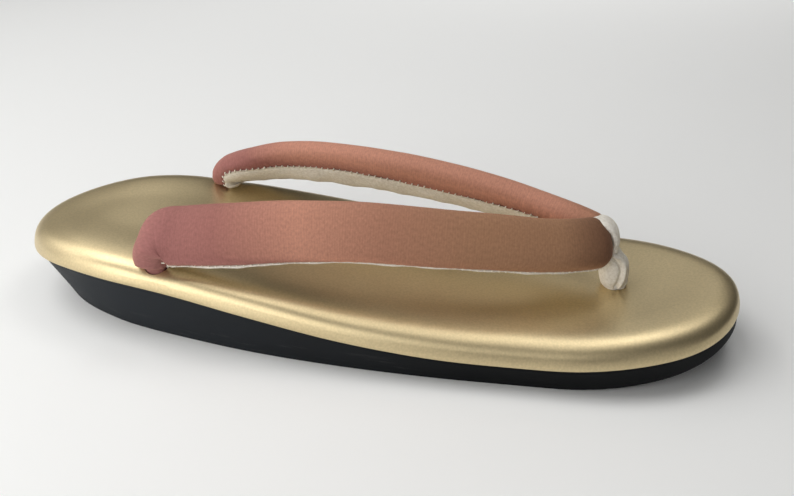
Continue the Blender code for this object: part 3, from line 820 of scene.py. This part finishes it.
def makeThong(material):
    hole, stem = frontHoleX, thongForm["stem"]
    footbedTop = footbedZ(hole)
    rows = [(hole, z, stem, stem) for z in (seamZ(hole) + 0.6 * mm, footbedTop - 0.6 * mm)]
    for ahead, rise, width, depth in thongForm["rows"]:
        rows.append((hole + thongForm["bulb"] * ahead, footbedTop + strapForm["rise"] * rise,
                     thongForm["width"] * width, thongForm["depth"] * depth))
    rows = finerRows(rows, thongForm["steps"])
    path = [Vector((row[0], 0, row[1])) for row in rows]
    ridge = finerRows([(hole + ahead, footbedTop + height) for ahead, height in thongForm["ridge"]], 40)
    across = Vector((0, 1, 0))
    rings = []
    for i, (_, _, width, depth) in enumerate(rows):
        travel = (path[min(i + 1, len(path) - 1)] - path[max(i - 1, 0)]).normalized()
        through = travel.cross(across)
        ring = []
        for k in range(thongForm["sides"]):
            angle = 2 * pi * k / thongForm["sides"]
            side, top = superellipse(angle, thongForm["fullness"])
            point = path[i] + across * side * width / 2 + through * top * depth / 2
            normal = (across * cos(angle) / width + through * sin(angle) / depth).normalized()
            rise = thongForm["softness"] * softNoise(
                point.x / (2.6 * mm), point.y / (2.6 * mm), point.z / (3.5 * mm))
            if point.z < footbedTop + thongForm["bulbTop"]:
                rise += bulbFold(point, ridge, footbedTop)
            ring.append(point + normal * rise)
        rings.append(ring)
    bm = bmesh.new()
    verts = joinRings(bm, rings)
    closePole(bm, verts[0], path[0])
    closePole(bm, verts[-1], path[-1])
    return makePiece("front_thong_flannel", bm, material)


def makeCamera():
    lens = {"place": (0.053912, -0.218626, 0.152485), "turn": (59.668, 0, 11.246),  # metres and degrees
            "focalPixels": 770.87, "imageWidth": 794}
    camera = bpy.data.objects.new("camera", bpy.data.cameras.new("camera"))
    camera.location = lens["place"]
    camera.rotation_euler = [radians(angle) for angle in lens["turn"]]
    camera.data.sensor_width = 36
    camera.data.lens = 36 * lens["focalPixels"] / lens["imageWidth"]
    camera.data.clip_start = 0.01
    bpy.context.scene.collection.objects.link(camera)
    bpy.context.scene.camera = camera


def makeFloor():
    # matt white card: even and pale, with no gloss
    material, _, shader = newMaterial("whiteCardMatt", Roughness=0.9)
    shader.inputs["Base Color"].default_value = linear("#f8f8f6")
    bpy.ops.mesh.primitive_plane_add(size=6)
    floor = bpy.context.object
    floor.name = "floor"
    floor.data.materials.append(material)


def makeLights():
    lamps = {  # place, point that it looks at, size, power in watts, spread in degrees
        "heelHigh": ((-0.380, 0, 0.846), (0, 0, 0.03), 0.50, 2.6, 180),
        "heelMiddle": ((-0.689, 0, 0.609), (0, 0, 0.03), 0.50, 1.4, 180),
        "heelLow": ((-0.869, 0, 0.263), (0, 0, 0.03), 0.50, 0.60, 180),
        "heelNear": ((-0.38, -0.26, 0.16), (-0.08, 0, 0.02), 0.30, 0.38, 180),
        "frontLeft": ((-0.20, -0.42, 0.22), (-0.04, 0, 0.02), 0.36, 0.70, 180),
        "frontLow": ((-0.46, -0.65, 0.14), (0, 0, 0.03), 0.60, 0.70, 180),
        "frontMiddle": ((0, -0.689, 0.609), (0, 0, 0.03), 0.50, 0.45, 180),
        "toeFront": ((0.615, -0.615, 0.263), (0, 0, 0.03), 0.50, 0.18, 180),
        "toeBackHigh": ((0.269, 0.269, 0.846), (0, 0, 0.03), 0.40, 0.65, 180),
        "toeBackLow": ((0.131, 0.615, 0.438), (0, 0, 0.03), 0.25, 0.14, 180),
        "toeHigh": ((0.12, 0.14, 0.42), (0.06, 0, 0.03), 0.14, 0.17, 180),
        "overhead": ((0, 0, 0.95), (0, 0, 0.03), 0.40, 0.45, 180),
        "backLeft": ((-0.487, 0.487, 0.609), (0, 0, 0.03), 0.40, 0.50, 180),
        "backdrop": ((0.10, 1.00, 1.00), (0.10, 1.10, 0), 1.00, 3.0, 70),
    }
    for name, (place, target, size, power, spread) in lamps.items():
        lamp = bpy.data.objects.new(name, bpy.data.lights.new(name, "AREA"))
        lamp.data.size = size
        lamp.data.energy = power
        lamp.data.spread = radians(spread)
        lamp.location = place
        lamp.rotation_euler = (Vector(place) - Vector(target)).to_track_quat("Z", "Y").to_euler()
        bpy.context.scene.collection.objects.link(lamp)
    world = bpy.data.worlds.new("studio")
    world.use_nodes = True
    background = world.node_tree.nodes["Background"]
    background.inputs["Color"].default_value = linear("#ffffff")
    background.inputs["Strength"].default_value = 0.04
    bpy.context.scene.world = world
    bpy.context.scene.view_settings.view_transform = "Standard"


makeCamera()
makeFloor()
makeLights()
print("camera, floor and lights: done")

rubber = foamRubber()
for piece in makeSole(rubber):
    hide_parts("sole")
    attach(piece, "root")
print("sole: done")

footbed = makeFootbed(goldLeather())
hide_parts("footbed")
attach(footbed, "root")
print("footbed: done")

cloth = shotFabric()
whiteFlannel = flannel("flannelBrushed", "#f3eee4", "#dad3c5")
softThread = flannel("cottonThreadTwisted", "#f5efe2", "#e2dac9")  # loosely twisted, with a nap as well
stitches = stitchTree(softThread)
for side in ("right", "left"):
    sections = strapSections(side)
    cover = makeCover(side, sections, cloth)
    lining = makeLining(side, sections, whiteFlannel)
    thread = makeStitches(side, sections, stitches)
    for piece, slot in ((cover, "strap"), (lining, "flannel"), (thread, "flannel")):
        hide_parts("straps")
        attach(piece, "root")
    print(side, "strap: done")

thong = makeThong(whiteFlannel)
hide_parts("front_thong")
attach(thong, "root")
print("thong: done")
